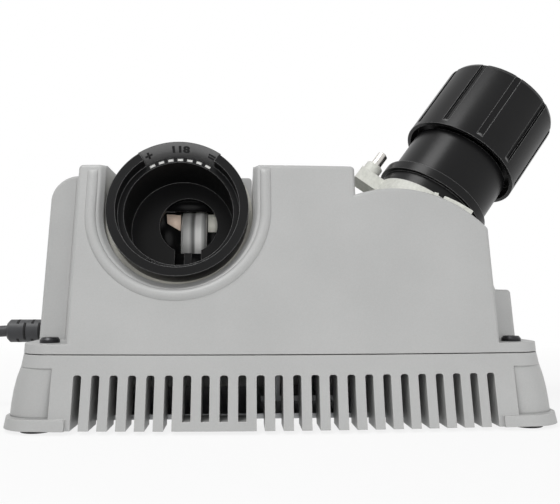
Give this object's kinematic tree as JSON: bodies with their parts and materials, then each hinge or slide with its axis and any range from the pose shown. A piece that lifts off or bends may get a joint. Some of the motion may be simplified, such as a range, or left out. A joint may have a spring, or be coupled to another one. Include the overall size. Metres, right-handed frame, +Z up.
{
  "type": "drill bit sharpener",
  "caption": "Bench drill bit sharpener: leaning grey housing on a slotted base, turning sharpening tube, grinding wheel, angled alignment port and knurled chuck.",
  "frame": {"origin": "on the bench under the middle of the base", "axes": "+X to the right of the front, +Y to the back, +Z up"},
  "size_m": [0.5021, 0.1514, 0.1957],
  "materials": {
    "housing_grey": "satin moulded grey",
    "black_plastic": "satin black moulding",
    "pale_plastic": "natural nylon",
    "cream_plastic": "cream moulding",
    "bright_steel": "ground steel",
    "dark_steel": "blackened screws",
    "zinc_plate": "plated sheet",
    "wheel_grit": "diamond grit on steel",
    "copper": "copper segments",
    "magnet": "ferrite",
    "carbon": "carbon",
    "rubber": "soft black rubber",
    "cord_rubber": "dark grey cord sheath",
    "plug_black": "moulded plug",
    "prong_brass": "plug blades"
  },
  "bodies": {
    "housing": {"base_housing": "housing_grey", "front_shell": "housing_grey", "rear_shell": "housing_grey", "wheel_cover": "housing_grey", "bottom_plate": "zinc_plate", "rubber_feet": "rubber", "case_screws": "dark_steel", "bottom_screws": "dark_steel", "cover_screws": "dark_steel", "tube_carrier": "cream_plastic", "wheel_shroud": "cream_plastic", "motor_can": "zinc_plate", "motor_end_cap": "black_plastic", "front_bearing": "bright_steel", "rear_bearing": "bright_steel", "motor_magnets": "magnet", "carbon_brushes": "carbon", "motor_bracket": "zinc_plate", "alignment_port": "pale_plastic", "index_pin": "bright_steel", "switch_body": "black_plastic", "strain_relief": "cord_rubber", "power_cord": "cord_rubber", "cord_coil": "cord_rubber", "coil_tie": "plug_black", "plug_body": "plug_black", "plug_pins": "prong_brass", "cord_clamp": "black_plastic", "internal_wiring": "cord_rubber"},
    "tube": {"sharpening_tube": "black_plastic", "tube_clip": "bright_steel"},
    "rotor": {"motor_shaft": "bright_steel", "grinding_wheel": "wheel_grit", "wheel_nut": "bright_steel", "armature": "copper", "commutator": "copper", "cooling_fan": "black_plastic"},
    "chuck": {"chuck_body": "black_plastic"},
    "knob": {"chuck_knob": "black_plastic", "drive_sleeve": "bright_steel"},
    "rocker": {"switch_rocker": "black_plastic"},
    "jaw_1": {"jaw_1": "bright_steel"},
    "jaw_2": {"jaw_2": "bright_steel"},
    "jaw_3": {"jaw_3": "bright_steel"},
    "jaw_4": {"jaw_4": "bright_steel"},
    "jaw_5": {"jaw_5": "bright_steel"},
    "jaw_6": {"jaw_6": "bright_steel"}
  },
  "joints": [
    {"name": "tube_turn", "type": "hinge", "parent": "housing", "child": "tube", "pos_m": [-0.0534, -0.04052, 0.10601], "axis": [0, -0.9744, 0.225], "range_deg": [-29, 29]},
    {"name": "wheel_spin", "type": "hinge", "parent": "housing", "child": "rotor", "pos_m": [0, 0.01258, 0.09375], "axis": [1, 0, 0], "continuous": true},
    {"name": "chuck_lift", "type": "slide", "parent": "housing", "child": "chuck", "axis": [0.592, 0.1813, 0.7853], "range_m": [0, 0.06]},
    {"name": "knob_turn", "type": "hinge", "parent": "chuck", "child": "knob", "pos_m": [0.08388, 0.00018, 0.11341], "axis": [0.592, 0.1813, 0.7853], "range_deg": [0, 180]},
    {"name": "switch_rock", "type": "hinge", "parent": "housing", "child": "rocker", "pos_m": [0.066, 0.0596, 0.06176], "axis": [-1, 0, 0], "range_deg": [-8, 8]},
    {"name": "jaw_1_slide", "type": "slide", "parent": "chuck", "child": "jaw_1", "axis": [0.8059, -0.1332, -0.5768], "range_m": [0, 0.003]},
    {"name": "jaw_2_slide", "type": "slide", "parent": "chuck", "child": "jaw_2", "axis": [0.403, 0.7772, -0.4832], "range_m": [0, 0.003]},
    {"name": "jaw_3_slide", "type": "slide", "parent": "chuck", "child": "jaw_3", "axis": [-0.403, 0.9104, 0.0936], "range_m": [0, 0.003]},
    {"name": "jaw_4_slide", "type": "slide", "parent": "chuck", "child": "jaw_4", "axis": [-0.8059, 0.1332, 0.5768], "range_m": [0, 0.003]},
    {"name": "jaw_5_slide", "type": "slide", "parent": "chuck", "child": "jaw_5", "axis": [-0.403, -0.7772, 0.4832], "range_m": [0, 0.003]},
    {"name": "jaw_6_slide", "type": "slide", "parent": "chuck", "child": "jaw_6", "axis": [0.403, -0.9104, -0.0936], "range_m": [0, 0.003]}
  ],
  "couplings": [
    {"joint": "jaw_1_slide", "follows": "knob_turn", "m_per_rad": 0.00095493},
    {"joint": "jaw_2_slide", "follows": "knob_turn", "m_per_rad": 0.00095493},
    {"joint": "jaw_3_slide", "follows": "knob_turn", "m_per_rad": 0.00095493},
    {"joint": "jaw_4_slide", "follows": "knob_turn", "m_per_rad": 0.00095493},
    {"joint": "jaw_5_slide", "follows": "knob_turn", "m_per_rad": 0.00095493},
    {"joint": "jaw_6_slide", "follows": "knob_turn", "m_per_rad": 0.00095493}
  ]
}
